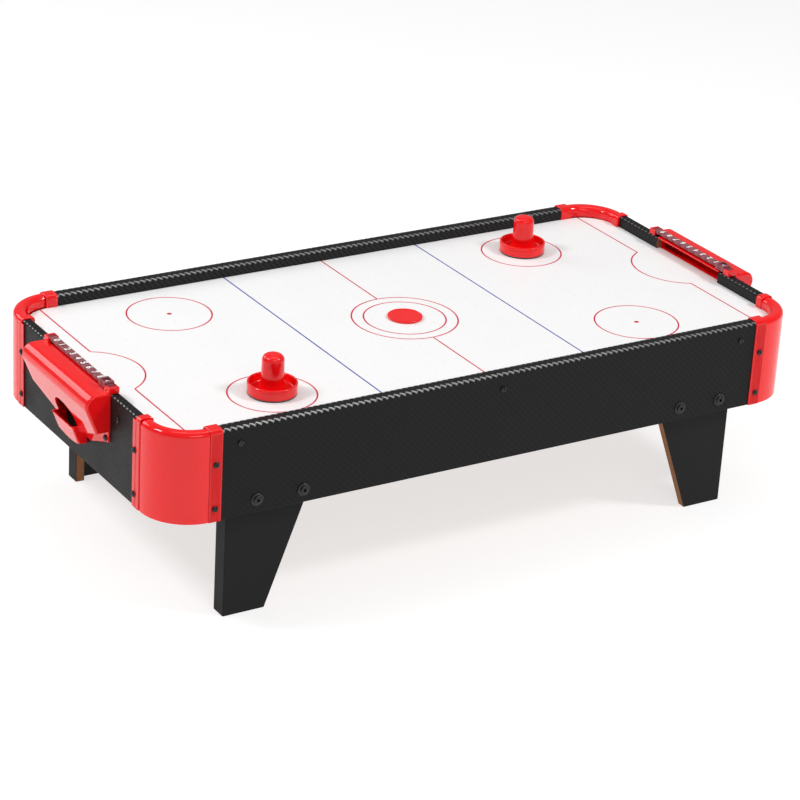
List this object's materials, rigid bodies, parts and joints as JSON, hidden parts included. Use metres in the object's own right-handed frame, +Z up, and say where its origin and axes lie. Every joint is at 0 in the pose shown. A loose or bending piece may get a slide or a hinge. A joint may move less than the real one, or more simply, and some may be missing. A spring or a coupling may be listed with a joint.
{
  "type": "air hockey table",
  "caption": "Tabletop air hockey table with goal boxes, sliding score markers, strikers, a puck and a fan-fed playing surface on four board legs.",
  "frame": {"origin": "on the floor under the centre of the table", "axes": "+X along the length, the front long side faces -Y, +Z up"},
  "size_m": [0.92, 0.4386, 0.2723],
  "materials": {
    "wrapped_board": "woven carbon-print vinyl wrap, satin",
    "black_board": "plain black vinyl wrap, matte",
    "white_board": "gloss white laminate with printed lines",
    "raw_board": "bare fibreboard",
    "black_plastic": "moulded, matte",
    "zinc_steel": "zinc plated",
    "red_plastic": "glossy moulded",
    "maroon_plastic": "dark translucent moulded",
    "felt": "pressed felt",
    "black_steel": "black oxide"
  },
  "bodies": {
    "table": {"front_panel": "wrapped_board", "back_panel": "wrapped_board", "left_end_panel": "wrapped_board", "right_end_panel": "wrapped_board", "front_left_leg": "black_board", "front_right_leg": "black_board", "back_left_leg": "black_board", "back_right_leg": "black_board", "playing_surface": "white_board", "air_chamber_frame": "raw_board", "air_chamber_floor": "raw_board", "fan_housing": "black_plastic", "fan_grille": "black_plastic", "power_switch_housing": "black_plastic", "power_inlet": "black_plastic", "fan_lead": "black_plastic", "fan_motor": "zinc_steel", "front_left_leg_bolt_inner": "zinc_steel", "front_left_leg_bolt_outer": "zinc_steel", "front_right_leg_bolt_inner": "zinc_steel", "front_right_leg_bolt_outer": "zinc_steel", "back_left_leg_bolt_inner": "zinc_steel", "back_left_leg_bolt_outer": "zinc_steel", "back_right_leg_bolt_inner": "zinc_steel", "back_right_leg_bolt_outer": "zinc_steel", "front_left_corner_guard": "red_plastic", "front_right_corner_guard": "red_plastic", "back_left_corner_guard": "red_plastic", "back_right_corner_guard": "red_plastic", "left_goal_box": "red_plastic", "right_goal_box": "red_plastic", "left_score_bar": "maroon_plastic", "right_score_bar": "maroon_plastic", "front_left_guard_side_screw_lower": "black_steel", "front_left_guard_side_screw_upper": "black_steel", "front_left_guard_end_screw_lower": "black_steel", "front_left_guard_end_screw_upper": "black_steel", "front_right_guard_side_screw_lower": "black_steel", "front_right_guard_side_screw_upper": "black_steel", "front_right_guard_end_screw_lower": "black_steel", "front_right_guard_end_screw_upper": "black_steel", "back_left_guard_side_screw_lower": "black_steel", "back_left_guard_side_screw_upper": "black_steel", "back_left_guard_end_screw_lower": "black_steel", "back_left_guard_end_screw_upper": "black_steel", "back_right_guard_side_screw_lower": "black_steel", "back_right_guard_side_screw_upper": "black_steel", "back_right_guard_end_screw_lower": "black_steel", "back_right_guard_end_screw_upper": "black_steel"},
    "left_marker": {"left_score_marker": "maroon_plastic"},
    "right_marker": {"right_score_marker": "maroon_plastic"},
    "near_striker": {"near_mallet": "red_plastic", "near_mallet_felt": "felt"},
    "far_striker": {"far_mallet": "red_plastic", "far_mallet_felt": "felt"},
    "gliding_puck": {"puck": "red_plastic"},
    "fan_rotor": {"fan_impeller": "black_plastic"},
    "power_rocker": {"power_switch_rocker": "red_plastic"}
  },
  "joints": [
    {"name": "left_marker_slide", "type": "slide", "parent": "table", "child": "left_marker", "axis": [0, 1, 0], "range_m": [0, 0.12645]},
    {"name": "right_marker_slide", "type": "slide", "parent": "table", "child": "right_marker", "axis": [0, 1, 0], "range_m": [0, 0.12645]},
    {"name": "near_mallet_glide", "type": "slide", "parent": "table", "child": "near_striker", "axis": [1, 0, 0], "range_m": [-0.134, 0.22]},
    {"name": "far_mallet_glide", "type": "slide", "parent": "table", "child": "far_striker", "axis": [1, 0, 0], "range_m": [-0.22, 0.134]},
    {"name": "puck_glide", "type": "slide", "parent": "table", "child": "gliding_puck", "axis": [1, 0, 0], "range_m": [-0.415, 0.415]},
    {"name": "fan_spin", "type": "hinge", "parent": "table", "child": "fan_rotor", "pos_m": [0, 0, 0.18], "axis": [0, 0, 1], "continuous": true},
    {"name": "power_rocker_tip", "type": "hinge", "parent": "table", "child": "power_rocker", "pos_m": [-0.16, 0.2149, 0.172], "axis": [1, 0, 0], "range_deg": [-16, 0]}
  ]
}
